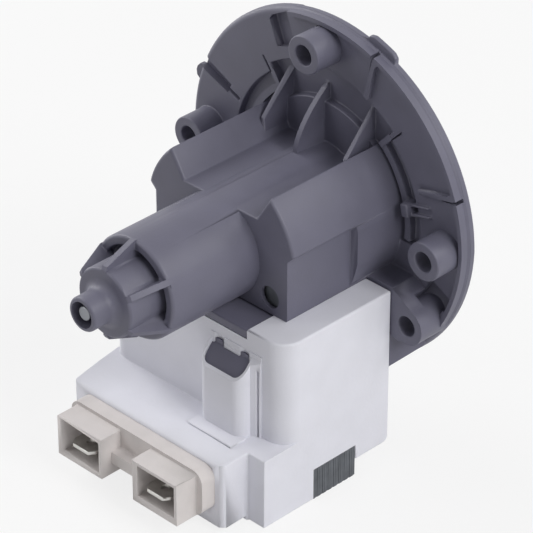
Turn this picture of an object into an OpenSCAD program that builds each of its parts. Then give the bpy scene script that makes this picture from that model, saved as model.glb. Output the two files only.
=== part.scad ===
// Washer drain pump: synchronous motor with its flange, coil block, rotor and impeller.
// The rotor axis is Y, with the flange face at y = 0 and the impeller on the +Y side. Z is up.

/* [Flange] */
// Outer radius of the flange lip
flange_r = 37.7; // [36:0.1:42]
// Thickness of the flange plate behind its front face
plate_t = 2.3; // [2:0.1:3]
// Thickness of the front lip
lip_t = 1.3; // [0.8:0.1:1.6]
// Step from the lip down to the rim
lip_step = 0.3; // [0.1:0.05:0.5]
// Height of the rim wall above the plate
rim_h = 1.2; // [0.6:0.1:2]
// Thickness of the rim wall
rim_wall = 0.9; // [0.7:0.1:1.4]
// How far a bayonet tab stands out past the lip
tab_out = 1.6; // [0.8:0.1:2.4]
// Thickness of a bayonet tab
tab_t = 1.1; // [0.8:0.1:1.3]
// Angle that a large bayonet tab spans
tab_span = 12.2; // [8:0.2:18]
// Angle that the small bayonet tab on the left spans
small_tab_span = 6; // [4:0.2:6.6]
// Cut at the corners of a bayonet tab
tab_corner = 1.6; // [0.8:0.1:1.8]
// How far the lower edge of the flange is eased upwards
edge_rise = 1.5; // [0.5:0.1:1.6]
// Radius of the recess in the plate round the motor body
recess_r = 25.3; // [24.8:0.1:26]
// Thickness of the plate in that recess
recess_t = 0.6; // [0.6:0.1:1.2]
// Outer radius of the ring that stands in the recess
ring_r = 22.8; // [22.4:0.1:23.2]
// Wall of that ring
ring_wall = 1.4; // [0.8:0.1:1.5]
// Thickness of the two ribs inside the rim
rib_t = 1.1; // [0.8:0.1:1.6]
// Radius at which those ribs start
rib_in = 27.4; // [26.6:0.1:29]
// Radius at which the trenches in the plate start
trench_in = 29.4; // [29:0.1:30]
// Width of the two wide trenches
trench_w = 5.8; // [5:0.1:6.2]
// Length of the slit at the left trench's inner end
slit_len = 3.2; // [2:0.1:3.6]

/* [Screw bosses] */
// Radius of the circle that the side and top bosses lie on
boss_circle_r = 32.2; // [31.6:0.1:33]
// Angle of the left boss from the right one
left_boss_angle = 177.8; // [176:0.2:180]
// Radius of the corner boss from the rotor axis
corner_circle_r = 32.8; // [32.6:0.1:33.4]
// Angle of the corner boss below the horizontal
corner_angle = 30; // [28:0.5:31]
// Outer radius of a boss
boss_r = 4.05; // [3.6:0.05:4.3]
// Radius of a screw hole
screw_hole_r = 2.1; // [1.7:0.05:2.4]
// Length of a boss behind the plate
boss_len = 6.5; // [5:0.25:7]

/* [Locating spigot] */
// Outer radius of the spigot that enters the pump body
spigot_r = 27; // [26:0.25:28]
// Wall of the spigot
spigot_wall = 2; // [1.5:0.1:3]
// Height of the spigot in front of the flange face
spigot_h = 6; // [4:0.25:7]
// Cord radius of the flange seal
seal_cord_r = 1.3; // [1:0.05:1.5]
// Step from the spigot in to the seat of the flange seal
seal_step = 0.4; // [0.2:0.05:0.6]

/* [Motor body] */
// Radius of the barrel that holds the stator poles
barrel_r = 20.5; // [20.2:0.1:21.2]
// Distance from the flange face to the rear of the barrel
barrel_len = 31.2; // [30.8:0.2:34]
// Height of the platform between the two pole housings
platform_z = 9.8; // [9.4:0.1:10.4]
// Half width of the platform
platform_x = 9.8; // [9.2:0.1:10.4]
// Half distance between the crests of the pole housings
crest_x = 13.4; // [12.8:0.1:14]
// Half width of the body in front of the pole housings
side_x = 20.2; // [19.6:0.1:20.2]
// Half width across the flats of the pole housings
flat_x = 18.2; // [17.9:0.1:18.6]
// Height at which those flats start
flat_z = 3.6; // [2.5:0.1:4.5]
// Length of the body in front of the pole housings
front_len = 14.1; // [12:0.1:15]
// Wall of the pole housings
body_wall = 1.1; // [0.9:0.05:1.3]
// Height of the underside of the pole housings, below the rotor axis
base_drop = 9.9; // [9.5:0.1:10.2]
// Half width of the seat plate under the rotor tube
seat_x = 14.3; // [13.8:0.1:14.8]
// Thickness of the seat plate
seat_t = 1.8; // [1.2:0.1:2.2]
// Step from the coil block's top down to the seat plate
seat_step = 0.4; // [0.2:0.1:0.6]
// Radius of the opening in the rear of each pole housing
pole_hole_r = 2.35; // [2:0.05:2.5]
// Thickness of the gussets between the body and the flange
gusset_wall = 1.1; // [0.8:0.1:1.6]
// Distance of the two side gussets from the middle one
gusset_x = 11.1; // [10.6:0.1:11.6]
// Reach of the middle gusset behind the flange face
gusset_out = 9.9; // [8.5:0.1:11]
// Reach of the side gussets behind the flange face
side_gusset_out = 8.5; // [7.5:0.1:9.5]
// Half width of the cradle in front of the coil block
cradle_x = 23.9; // [23:0.1:24.2]
// Underside of the cradle below the rotor axis
cradle_drop = 28; // [26:0.25:30]
// Wall of the cradle
cradle_wall = 1.6; // [1.2:0.1:2.2]
// Rise of the cradle's underside towards the flange
cradle_rise = 0.8; // [0.2:0.1:1]
// How far the web at the cradle's lower right spreads towards the flange
web_out = 3.6; // [2.5:0.1:3.8]

/* [Rotor tube] */
// Outer radius of the rotor tube
tube_r = 10.8; // [10.7:0.05:10.9]
// Wall of the rotor tube
tube_wall = 1.2; // [1:0.05:1.4]
// Distance from the flange face to the end of the tube
tube_len = 53.9; // [52:0.25:58]
// Width of the round on the tube's end
tube_round = 0.7; // [0.3:0.1:1]
// Outer radius of the bearing drum at the tube's end
drum_r = 7.3; // [7.2:0.1:8]
// Length of the drum past the tube
drum_len = 7.5; // [6.5:0.25:9]
// Outer radius of the nipple on the drum
nipple_r = 3.6; // [3.4:0.1:4]
// Length of the nipple past the drum
nipple_len = 5.7; // [4:0.1:7]
// Bore of the nipple
nipple_bore_r = 2.75; // [2.4:0.05:2.8]
// Number of gussets round the drum
gusset_count = 6; // [4:1:8]
// Thickness of a gusset
gusset_t = 1.2; // [1:0.1:2]
// Depth of the groove between the tube's end and the drum
groove_d = 2.6; // [1.5:0.1:3]

/* [Coil block] */
// Half width of the coil block
block_x = 24.5; // [24:0.1:26]
// Rear face of the coil block from the flange face
block_rear = 38.2; // [37.6:0.1:40]
// Front face of the coil block from the flange face
block_front = 8.9; // [8.9:0.1:9.6]
// Underside of the coil block below the rotor axis
block_drop = 48.8; // [48:0.1:52]
// Top of the terminal shelf below the rotor axis
shelf_drop = 33; // [32:0.25:34]
// Rear end of the shelf from the flange face
shelf_rear = 50.6; // [50:0.2:53]
// Half width of the shelf at its rear end
shelf_x = 20.6; // [19.6:0.1:20.8]
// Height of the shelf's underside above the block's
shelf_lift = 1.1; // [0.4:0.1:2]
// How far the shelf's right column stands back from its rear end
column_back = 6.6; // [6:0.2:8]
// Radius of the block's rear corners
block_corner_r = 4.4; // [3:0.2:5]
// Height of the step in the block's underside that shows the yoke
yoke_step = 3.5; // [2:0.1:4]
// How far the pilaster stands out from the block's rear face
pilaster_out = 4; // [3:0.25:5]
// Width of the pilaster's front
pilaster_w = 11.7; // [10:0.1:12.4]
// Wall round the pocket in the pilaster
pocket_wall = 0.5; // [0.4:0.1:0.8]
// Radius of the pilaster's corners
pilaster_round = 2.4; // [1.6:0.1:2.8]
// Depth of the pocket in the pilaster
pocket_d = 12; // [6:0.5:14]
// Step from the mouth of the pocket down to the latch tongue in it
tongue_step = 0.9; // [0.5:0.1:2]

/* [Stator] */
// Width of a pole leg
leg_w = 4.7; // [4.2:0.1:4.9]
// Rear face of the lamination stack from the flange face
stack_rear = 30; // [29.8:0.1:30.1]
// Thickness of the lamination stack
stack_t = 11.6; // [10:0.2:12]
// Height of the yoke
yoke_h = 7; // [5.5:0.1:7]
// Wall of a bobbin
bobbin_wall = 0.9; // [0.7:0.1:1.1]
// Width of a bobbin's flanges past its wall
bobbin_flange = 5.1; // [4.9:0.1:5.4]
// Thickness of a bobbin's flanges
bobbin_end = 1.1; // [0.8:0.1:1.6]
// Depth of the copper winding on a bobbin
winding_d = 4.6; // [3.6:0.1:4.8]

/* [Terminals] */
// Width of the terminal plate
plate_w = 37; // [36:0.1:38]
// Height of the terminal plate
plate_h = 10.3; // [9.8:0.1:11]
// Thickness of the terminal plate
terminal_plate_t = 3.4; // [2:0.1:4]
// Outer width of a terminal shroud
shroud_w = 12.5; // [11:0.1:13]
// Outer height of a terminal shroud
shroud_h = 9.4; // [9:0.1:9.8]
// Distance between the two shrouds
shroud_pitch = 21.2; // [20:0.1:22]
// How far the shrouds stand out from the terminal plate
shroud_len = 5.2; // [4:0.1:7]
// Height of the bar that joins the shrouds
bar_h = 2.6; // [1.6:0.1:4]
// Depth of a terminal socket behind the plate's front
socket_depth = 8; // [6:0.25:9]
// Sideways shift of the terminal plate from the rotor axis
terminal_shift = -0.4; // [-1:0.1:1]
// Width of a spade terminal
blade_w = 6.3; // [4.8:0.1:6.3]
// Thickness of a spade terminal
blade_t = 0.8; // [0.5:0.1:0.8]
// Distance of the dimple from the tip of a spade terminal
dimple_back = 2.9; // [2.5:0.1:5]

/* [Rotor] */
// Radius of the rotor shaft
shaft_r = 1.5; // [1.2:0.05:1.8]
// Outer radius of the magnet
magnet_r = 9; // [8.6:0.05:9.2]
// Front end of the magnet from the flange face
magnet_front = 9; // [8.8:0.1:10]
// Length of the magnet
magnet_len = 33; // [28:0.5:35]
// Outer radius of the core inside the magnet
core_r = 5; // [4.2:0.1:6]
// Outer radius of a bearing
bearing_r = 3.2; // [2.8:0.1:3.4]
// Length of a bearing
bearing_len = 6; // [4.5:0.25:6.5]
// Outer radius of the rubber sleeve round a bearing
sleeve_r = 5; // [4.4:0.1:5.2]
// Thickness of a thrust washer
washer_t = 0.8; // [0.5:0.1:1]

/* [Bearing cap] */
// Outer radius of the bearing cap
cap_r = 14; // [13:0.25:14.5]
// Thickness of the bearing cap
cap_t = 2.4; // [1.8:0.1:3]
// How deep the cap sits in the flange face
cap_sink = 1; // [0.6:0.1:1.1]
// Outer radius of the shaft seal
seal_r = 4.2; // [3.6:0.1:4.4]
// Height of the cap's front collar
collar_h = 1.6; // [1:0.1:2]

/* [Impeller] */
// Radius at the tips of the vanes
impeller_r = 18.5; // [16:0.25:20]
// Height of the vanes
vane_h = 10.5; // [8:0.25:11.5]
// Thickness of a vane
vane_t = 1.7; // [1.2:0.1:2.2]
// Number of vanes
vane_count = 6; // [4:1:8]
// Outer radius of the impeller hub
hub_r = 7.6; // [7.2:0.1:8.4]
// Wall of the impeller hub
hub_wall = 1.4; // [1.1:0.1:1.6]
// Height of the impeller hub
hub_h = 11.6; // [10:0.2:13]
// Floor of the hub, and thickness of its cap
hub_floor = 1.6; // [1.2:0.1:2]
// Free turn of the impeller each way
free_turn = 125; // [90:5:125]

/* [Hidden] */
$fn = 64;

// Clearances
seat_gap = 0.1; // between plastic pieces that fit into each other
core_gap = 0.2; // round the laminations
press_gap = 0.02; // between pieces that are pressed together
run_gap = 0.05; // round the shaft where it turns
end_gap = 0.3; // between faces that turn past each other
over = 1; // how far a cut runs past the face that it opens

// Flange
rim_r = flange_r - lip_step;
lip_round = plate_t - 1;
rim_in = rim_r - rim_wall;
rim_top = plate_t + rim_h;
plate_in = -recess_t / 2; // where the pieces that stand in the recess start
crown = [48.6, 124.4]; // angles between which the recess is wider
crown_step = 1.6;
bar_span = 2.2;
clip_angle = 13;
clip_out = 28.9;
slit_out = 28.8; // outer end of the slits beside the bars
trench_floor = -0.5;
rim_from = -corner_angle;
rim_to = 105;
tabs = [[69.5, tab_span], [162.3, small_tab_span], [249.5, tab_span]]; // middle and span of each
rib_middle = 44.1; // the two ribs are mirror images about this angle
rib_spread = 23;
top_trench = 111.8;
right_trench = -22;
left_trench = [153.9, 158.8];
seal_seat_r = spigot_r - seal_step;
seal_seat_y = 2 * seal_cord_r + seat_gap + 0.1;
boss_places = [
    for (a = [0, 90, left_boss_angle]) [boss_circle_r * cos(a), boss_circle_r * sin(a)],
    corner_circle_r * [cos(corner_angle), -sin(corner_angle)]
];
corner = corner_circle_r * [cos(corner_angle), -sin(corner_angle)];
boss_end = -(plate_t + boss_len);

// Motor body
bore_r = tube_r - tube_wall;
slope = [crest_x - platform_x, sqrt(barrel_r * barrel_r - crest_x * crest_x) - platform_z];
crest_z = platform_z + slope.y;
seat_top = -(base_drop + seat_step);
front_wall = 1.5;
cap_seat = cap_r + seat_gap;

// Nose
bearing_room = sleeve_r + press_gap;
chamber_end = -(tube_len - 3.4);
drum_end = -(tube_len + drum_len);
nipple_end = drum_end - nipple_len;
bearing_back = chamber_end - bearing_len;
nipple_floor = nipple_end + 3.6;
groove_r = drum_r + 1.5;
neck_r = nipple_r + 1.9;

// Coil block
yoke_top = -(block_drop - yoke_h);
stack_front = stack_rear - stack_t;
leg_out = flat_x - body_wall - core_gap;
leg_in = leg_out - leg_w;
head_in = 8.2;
leg_x = (leg_in + leg_out) / 2;
stack_y = -(stack_rear + stack_front) / 2;
bobbin_top = -(base_drop + 4.1);
bobbin_low = yoke_top + seat_gap;
tube_wind = bobbin_wall + seat_gap;
column_y = column_back - shelf_rear;
pilaster_x = 4.7;
pilaster_top = shelf_drop - 15.4;
pilaster_front = -block_rear - pilaster_out;
mouth_top = 2.1 - pilaster_top;
mouth_low = mouth_top - 1.18 * (pilaster_out + over - 0.2);

// Terminals
shroud_x = [terminal_shift - shroud_pitch / 2, terminal_shift + shroud_pitch / 2];
plate_front = -(shelf_rear + terminal_plate_t);
shroud_front = plate_front - shroud_len;
shroud_z = -(shelf_drop + 1.9 + shroud_h / 2);
plate_z = -(shelf_drop + 1.1 + plate_h / 2);
socket_walls = [1.6, 0.7, 1.6, 0.7]; // left, right, bottom, top
socket_floor = plate_front + socket_depth;
sleeve_back = socket_floor + 1.4;
blade_z = shroud_z - shroud_h / 2 + socket_walls[2] + 2.1 + blade_t / 2;
blade_tip = shroud_front + 0.2;
bar_front = plate_front - shroud_len / 2;
tail_y = sleeve_back + 1.4;
lead_r = 0.6;
lead_z = bobbin_low + bobbin_end + 1.4;
tail_top = lead_z + 1;
winding_back = stack_y - stack_t / 2 - tube_wind - winding_d;
fuse_r = 1.5;
fuse_y = [tail_y + blade_t + 1.2, winding_back - 1.2];
link_x = leg_x - leg_w / 2 - tube_wind - winding_d;

// Rotor
shaft_tail = nipple_end + 0.6;
magnet_back = -(magnet_front + magnet_len);
core_front = -(bearing_len + 1.2 + end_gap + washer_t);
front_bearing_y = -1.2;
cap_front = cap_t - cap_sink;
collar_top = cap_front + collar_h;
seal_y = -0.6;
washer_r = 3.4;
impeller_back = collar_top + 0.7;
hub_front = impeller_back + hub_h;
chamber_r = hub_r - hub_wall;
chamber_y = [impeller_back + hub_floor, hub_front - hub_floor];
dog_r = 3;
dog_reach = chamber_r - end_gap;
dog_span = 40;
bumper_span = 5;
stop_room = 5; // degrees left between the dog and a pad at the end of the free turn
key_span = 360 - 2 * (free_turn + stop_room + bumper_span) - dog_span;
key_in = dog_r + end_gap;

// A flat profile in X and Z, drawn out between two places on Y
module slab_y(y0, y1) {
    translate([0, y1, 0]) rotate([90, 0, 0]) linear_extrude(y1 - y0) children();
}

// A flat profile in Y and Z, drawn out between two places on X
module slab_x(x0, x1) {
    translate([x0, 0, 0]) rotate([90, 0, 90]) linear_extrude(x1 - x0) children();
}

// A flat profile in X and Y, drawn out between two heights
module slab_z(z0, z1) {
    translate([0, 0, z0]) linear_extrude(z1 - z0) children();
}

// A profile in radius and Y, turned about the rotor axis
module turned_y() {
    rotate([-90, 0, 0]) rotate_extrude() children();
}

// A round bar or hole along the rotor axis
module round_y(r, y0, y1) {
    translate([0, y0, 0]) rotate([-90, 0, 0]) cylinder(r = r, h = y1 - y0);
}

// A plain ring about the rotor axis
module ring_y(r_in, r_out, y0, y1) {
    turned_y() polygon([[r_in, y0], [r_out, y0], [r_out, y1], [r_in, y1]]);
}

// Something at the positive X axis, moved round towards positive Z
module at_angle(a) {
    rotate([0, -a, 0]) children();
}

// A slice of a disc between two angles
module slice(a0, a1, r) {
    step = (a1 - a0) / 10;
    polygon(concat([[0, 0]], [for (i = [0:10]) r * [cos(a0 + i * step), sin(a0 + i * step)]]));
}

// The part of a ring between two angles
module ring_slice(r_in, r_out, y0, y1, a0, a1) {
    intersection() {
        ring_y(r_in, r_out, y0, y1);
        slab_y(y0 - over, y1 + over) slice(a0, a1, 2 * r_out);
    }
}

// A piece and its mirror image
module both_sides() {
    children();
    mirror([1, 0, 0]) children();
}

// Section of one pole housing, drawn in from its outer faces by a wall
module pole_section(wall, half_w, low) {
    shift = wall / norm(slope) * [slope.y, -slope.x];
    intersection() {
        circle(r = barrel_r - wall);
        polygon([
            [0, low], [half_w - wall, low], [half_w - wall, flat_z], [half_w - wall + 8, flat_z + 8],
            [half_w - wall + 8, 30], shift + [platform_x, platform_z] + 3 * slope,
            shift + [platform_x, platform_z], [0, platform_z - wall]
        ]);
    }
}

// Room for a pole's head beside the rotor tube, drawn in by a gap
module pole_head(gap, low) {
    difference() {
        pole_section(body_wall + gap, flat_x, low);
        circle(r = tube_r + gap);
        translate([0, -block_drop]) square([head_in + gap, 2 * block_drop]);
        square([tube_r + gap, barrel_r]);
    }
}

// What two copies share, one of them raised, so that the lower edge is eased upwards
module eased() {
    intersection() {
        children();
        translate([0, 0, edge_rise]) children();
    }
}

// Rim wall with the lip in front of it
module rim_wall() {
    difference() {
        union() {
            eased() round_y(flange_r, -lip_t, -lip_t / 2);
            eased() round_y(rim_r, -rim_top, -lip_t);
        }
        eased() round_y(rim_in, -rim_top - over, 0);
    }
}

// Disc with its lip, the recess in it, and the rim round the right side
module flange_plate() {
    difference() {
        eased() turned_y() polygon(concat(
            [[0, 0], [flange_r, 0]],
            [for (a = [0:15:90]) [flange_r - lip_round + lip_round * cos(a), -1 - lip_round * sin(a)]],
            [[0, -plate_t]]));
        intersection() {
            ring_y(barrel_r - over, recess_r, -plate_t - over, -recess_t);
            slab_y(-plate_t - 2 * over, 0) translate([-2 * ring_r, -3]) square(4 * ring_r);
        }
        ring_slice(recess_r - over, recess_r + crown_step, -plate_t - over, -recess_t, crown.x, crown.y);
    }
    intersection() {
        rim_wall();
        slab_y(-rim_top - over, 0) slice(rim_from, rim_to, 2 * flange_r);
    }
}

// Rings and bars that stand in the recess
module recess_walls() {
    low = crown.x - bar_span;
    high = crown.y + bar_span;
    ring_slice(ring_r - ring_wall, ring_r, 0.1 - plate_t, plate_in, -7, low + 1);
    ring_slice(ring_r - ring_wall, ring_r, 0.1 - plate_t, plate_in, high - 1, 187);
    for (a = [low, crown.y])
        ring_slice(
            ring_r - ring_wall + 0.1, recess_r + 0.3, -plate_t - 0.1, plate_in, a - 0.3, a + bar_span + 0.3
        );
}

// Clip on the plate below the recess: two small ribs and a post, drawn about the X axis
module plate_clip() {
    post_top = -(plate_t + 1.8);
    for (z = [-1.2, 0.7])
        slab_x(ring_r - 0.6, clip_out) polygon([
            [-plate_t - 0.7, z], [-plate_t - 0.7, z + 0.5], [plate_in, z + 0.5], [plate_in, z]
        ]);
    slab_x(ring_r - 0.4, ring_r + 1.4)
        polygon([[post_top, -1.4], [post_top, 1.4], [plate_in, 1.4], [plate_in, -1.4]]);
}

// A bayonet tab with cut corners, drawn about the X axis
module bayonet_tab(span) {
    r = flange_r + tab_out;
    half = span / 2;
    cut = tab_corner / r * 180 / PI;
    side = [
        [rim_r - 2, half], [r - tab_corner, half], [r - 0.3 * tab_corner, half - 0.3 * cut],
        for (i = [0:3]) [r, (half - cut) * (1 - i / 3.5)]
    ];
    slab_y(-tab_t, 0) polygon([
        for (p = side) p.x * [cos(p.y), sin(p.y)],
        for (i = [len(side) - 1:-1:0]) side[i].x * [cos(side[i].y), -sin(side[i].y)]
    ]);
}

// One rib inside the rim, whose outer end turns into the rim, drawn about the X axis
module flange_rib() {
    slab_y(0.2 - rim_top, -plate_t / 2) rotate(rib_spread) polygon([
        [rib_in, 0], [rim_in - 0.4, 1.3], [rim_in + 0.3, 0.9], [rim_in + 0.5, -0.5],
        [rim_in - 1.2, 1.35 - rib_t], [rib_in, -rib_t]
    ]);
}

// The notch through the rim beside the end of a rib
module rib_notch() {
    slab_y(-rim_top - over, -1.5) rotate(rib_spread) polygon([
        [rim_in - 4, 1.2], [rim_in - 4, 1.5], [rim_in - 1.4, 2.1], [rim_in, 2], [rim_r + over, 1.8],
        [rim_r + over, 1.1], [rim_in + 0.2, 1.2], [rim_in - 0.4, 1.5]
    ]);
}

// Both ribs or both notches
module rib_pair() {
    at_angle(rib_middle) {
        children();
        mirror([0, 0, 1]) children();
    }
}

// Raised pad between the corner boss and the rim
module corner_pad() {
    ring_slice(trench_in, rim_in + 0.2, 0.2 - rim_top, -plate_t / 2, right_trench - 7, right_trench);
}

// A wide trench, drawn about the X axis: its section in Y and Z, and how far out it reaches
module wide_trench(section, reach) {
    intersection() {
        slab_x(trench_in, reach) polygon(section);
        slab_y(-rim_top - 2 * over, 0) polygon([
            [0, -trench_w], [reach, -trench_w], [reach - 0.9, trench_w / 2 - 1.4],
            [reach - 1.5, trench_w / 2 - 0.5], [reach - 2.5, trench_w / 2 + 0.1], [0, trench_w]
        ]);
    }
}

module trenches() {
    half = trench_w / 2;
    low = -rim_top - 2 * over;
    at_angle(top_trench) wide_trench([
        [trench_floor, -half], [trench_floor, half - 0.7], [low, half + 0.4], [low, -half]
    ], rim_in + 0.6);
    difference() {
        at_angle(right_trench) mirror([0, 0, 1]) wide_trench([
            [trench_floor, -half], [trench_floor, -1.3], [-0.8, 0.1], [-1.4, 1.2], [-plate_t, 2.1],
            [-rim_top, half], [low, half], [low, -half]
        ], rim_in - 0.4);
        translate([corner.x, 0, corner.y]) round_y(boss_r, low - over, over);
    }
    ring_slice(trench_in, flange_r + tab_out + over, -rim_top, trench_floor, left_trench.x, left_trench.y);
    at_angle((left_trench.x + left_trench.y) / 2 + 0.6)
        translate([trench_in - slit_len, -plate_t - over, -0.4])
            cube([slit_len + over, plate_t + over - 0.5, 0.8]);
    for (a = [crown.x - bar_span - 0.8, crown.y + bar_span])
        ring_slice(recess_r - 0.2, slit_out, -plate_t - over, -1.2, a, a + 0.8);
}

module screw_bosses() {
    for (p = boss_places)
        translate([p.x, 0, p.y]) round_y(boss_r, boss_end, -plate_t / 2);
    slab_y(boss_end, -plate_t / 2) polygon([
        [cradle_x - cradle_wall, -base_drop + 0.6], [cradle_x + 0.5, -base_drop + 0.6],
        corner + boss_r * [cos(62), sin(62)], corner + boss_r * [cos(4), sin(4)],
        corner + [2.7, -2.3], corner + [-2, -4.5], [cradle_x + 0.3, -20.3],
        [cradle_x - cradle_wall, -20.3]
    ]);
}

// Wall behind the flange that the coil block stands against
module cradle() {
    inner_x = cradle_x - cradle_wall;
    difference() {
        slab_x(-cradle_x, cradle_x) polygon([
            [boss_end, 0.6 - base_drop], [-plate_t / 2, 0.6 - base_drop],
            [-plate_t / 2, cradle_rise - cradle_drop], [boss_end, -cradle_drop]
        ]);
        translate([-inner_x, boss_end - over, cradle_wall - cradle_drop])
            cube([2 * inner_x, boss_len + plate_t + 2 * over, cradle_drop - cradle_wall - base_drop - 1.4]);
    }
}

// Web from the cradle's lower right corner out to the rear edge of the flange
module cradle_web() {
    web_top = 20;
    intersection() {
        slab_z(-cradle_drop - over, -web_top) polygon([
            [cradle_x - cradle_wall / 2, boss_end], [cradle_x, boss_end], [cradle_x + web_out, -plate_t],
            [cradle_x + web_out, -plate_t / 2], [cradle_x - cradle_wall / 2, -plate_t / 2]
        ]);
        slab_x(cradle_x - cradle_wall, cradle_x + web_out + over) polygon([
            [boss_end, -cradle_drop], [boss_end, -web_top], [-plate_t / 2, -web_top],
            [-plate_t / 2, 3.8 - cradle_drop], [-plate_t, 3.8 - cradle_drop]
        ]);
    }
}

// Pole housings, the platform between them and the plain body in front
module body_shell() {
    both_sides() {
        slab_y(-barrel_len, plate_in) pole_section(0, flat_x, -base_drop);
        slab_y(-front_len, plate_in) pole_section(0, side_x, -base_drop);
    }
    slab_y(-block_rear, -stack_rear - core_gap) polygon([
        [-seat_x, seat_top], [seat_x, seat_top], [seat_x, seat_top - seat_t], [-seat_x, seat_top - seat_t]
    ]);
}

// Rotor tube, bearing drum and nipple
module nose() {
    turned_y() polygon([
        [0, -1], [tube_r, -1], [tube_r, tube_round - tube_len],
        [tube_r - 0.3 * tube_round, 0.3 * tube_round - tube_len],
        [tube_r - tube_round, -tube_len], [groove_r, -tube_len], [groove_r, groove_d - tube_len],
        [drum_r, groove_d - tube_len], [drum_r, drum_end + 0.6], [drum_r - 0.2, drum_end + 0.2],
        [drum_r - 0.6, drum_end], [neck_r, drum_end], [nipple_r + 0.9, drum_end - 0.35],
        [nipple_r + 0.3, drum_end - 0.95], [nipple_r, drum_end - 1.9], [nipple_r, nipple_end + 0.4],
        [nipple_r - 0.4, nipple_end], [0, nipple_end]
    ]);
    for (i = [0:gusset_count - 1])
        at_angle(30 + 360 / gusset_count * i) slab_z(-gusset_t / 2, gusset_t / 2) polygon([
            [0, groove_d / 2 - tube_len], [tube_r, groove_d / 2 - tube_len], [tube_r, -tube_len],
            [drum_r + 0.7, drum_end + 0.5], [drum_r, drum_end + 0.1], [0, drum_end + 0.1]
        ]);
}

// Gusset from the body up to the flange, straight or bulging by a share of a quarter round
module flange_gusset(x, y_tip, foot, z_tip, z_top, bulge) {
    outline = [for (a = [0:10:90]) [
        -recess_t + (y_tip + recess_t) * cos(a),
        z_tip + (z_top - z_tip) * ((1 - bulge) * (1 - cos(a)) + bulge * sin(a))
    ]];
    slab_x(x - gusset_wall / 2, x + gusset_wall / 2)
        polygon(concat([[y_tip, foot]], outline, [[plate_in, z_top], [plate_in, foot]]));
}

module flange_gussets() {
    for (side = [-1, 1])
        flange_gusset(side * gusset_x, -side_gusset_out, platform_z - 2, crest_z - 1.7, recess_r - 2.8, 0);
    flange_gusset(-1, -gusset_out, platform_z - 2, platform_z + 0.9, recess_r - 2.2, 0.5);
}

module motor_housing() {
    color("#6d717c") difference() {
        union() {
            flange_plate();
            for (t = tabs) at_angle(t[0]) bayonet_tab(t[1]);
            rib_pair() flange_rib();
            corner_pad();
            recess_walls();
            at_angle(clip_angle) plate_clip();
            screw_bosses();
            cradle();
            cradle_web();
            body_shell();
            nose();
            flange_gussets();
            ring_y(spigot_r - spigot_wall, seal_seat_r, plate_in, seal_seat_y + over);
            ring_y(spigot_r - spigot_wall, spigot_r, seal_seat_y, spigot_h);
        }
        turned_y() polygon([
            [0, over], [cap_seat, over], [cap_seat, -cap_sink], [bore_r, -cap_sink], [bore_r, chamber_end],
            [bearing_room, chamber_end], [bearing_room, bearing_back], [shaft_r + 0.4, bearing_back],
            [shaft_r + 0.4, nipple_floor], [nipple_bore_r, nipple_floor], [nipple_bore_r, nipple_end - over],
            [0, nipple_end - over]
        ]);
        both_sides() {
            slab_y(-stack_rear - core_gap, core_gap - stack_front) pole_head(0, -base_drop - over);
            translate([(leg_in + flat_x) / 2 - 1.6, 0, -6.2])
                round_y(pole_hole_r, -barrel_len - over, -stack_rear);
        }
        for (a = [7, 173])
            ring_slice(cap_seat + front_wall, barrel_r - front_wall, -front_len + front_wall, over,
                a - 29, a + 29);
        for (p = boss_places)
            translate([p.x, 0, p.y]) round_y(screw_hole_r, boss_end - over, over);
        rib_pair() rib_notch();
        trenches();
    }
}

module flange_seal() {
    color("#2a2a2c") turned_y()
        translate([seal_seat_r + seal_cord_r + seat_gap / 2, seal_cord_r + seat_gap / 2])
            circle(r = seal_cord_r);
}

module bearing_cap() {
    color("#c9c9c4") turned_y() polygon([
        [bearing_room, -bearing_len - 1.2], [bearing_room + 1.4, -bearing_len - 1.2],
        [bearing_room + 1.4, -cap_sink], [cap_r, -cap_sink], [cap_r, cap_front], [seal_r + 1.4, cap_front],
        [seal_r + 1.2, collar_top], [seal_r + press_gap, collar_top], [seal_r + press_gap, seal_y],
        [shaft_r + 0.5, seal_y], [shaft_r + 0.5, front_bearing_y], [bearing_room, front_bearing_y]
    ]);
}

module cap_seal() {
    color("#2a2a2c") turned_y() polygon([
        [shaft_r + run_gap, seal_y + 0.6], [seal_r, seal_y], [seal_r, collar_top],
        [seal_r - 0.9, collar_top], [seal_r - 1.1, cap_front + 0.2], [shaft_r + 0.9, cap_front + 0.1],
        [shaft_r + 0.5, collar_top - 0.3], [shaft_r + run_gap, collar_top - 0.5]
    ]);
}

module bearing_at(y0) {
    ring_y(shaft_r + run_gap, bearing_r, y0 - bearing_len, y0);
}

module sleeve_at(y0) {
    ring_y(bearing_r + press_gap, sleeve_r, y0 - bearing_len, y0);
}

module front_bearing() {
    color("#b08d57") bearing_at(front_bearing_y);
}

module front_bearing_sleeve() {
    color("#2a2a2c") sleeve_at(front_bearing_y);
}

module rear_bearing() {
    color("#b08d57") bearing_at(chamber_end);
}

module rear_bearing_sleeve() {
    color("#2a2a2c") sleeve_at(chamber_end);
}

// One pole leg, with the pole face beside the rotor tube, on the right side
module pole_leg() {
    slab_y(-stack_rear, -stack_front) {
        translate([leg_in, yoke_top]) square([leg_w, -yoke_top]);
        pole_head(core_gap, -base_drop + 1);
    }
}

module pole_right() {
    color("#5c5f63") pole_leg();
}

module pole_left() {
    color("#5c5f63") mirror([1, 0, 0]) pole_leg();
}

module stator_yoke() {
    color("#5c5f63") slab_y(-stack_rear, -stack_front)
        translate([-block_x, -block_drop]) square([2 * block_x, yoke_h - press_gap]);
}

// Outline of a leg in X and Y, grown by a margin, with its corners rounded
module leg_plan(margin, round) {
    w = leg_w / 2 + margin;
    d = stack_t / 2 + margin;
    translate([leg_x, stack_y]) {
        square([2 * w, 2 * (d - round)], center = true);
        square([2 * (w - round), 2 * d], center = true);
        if (round > 0)
            for (i = [-1, 1], j = [-1, 1]) translate([i * (w - round), j * (d - round)]) circle(r = round);
    }
}

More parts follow.
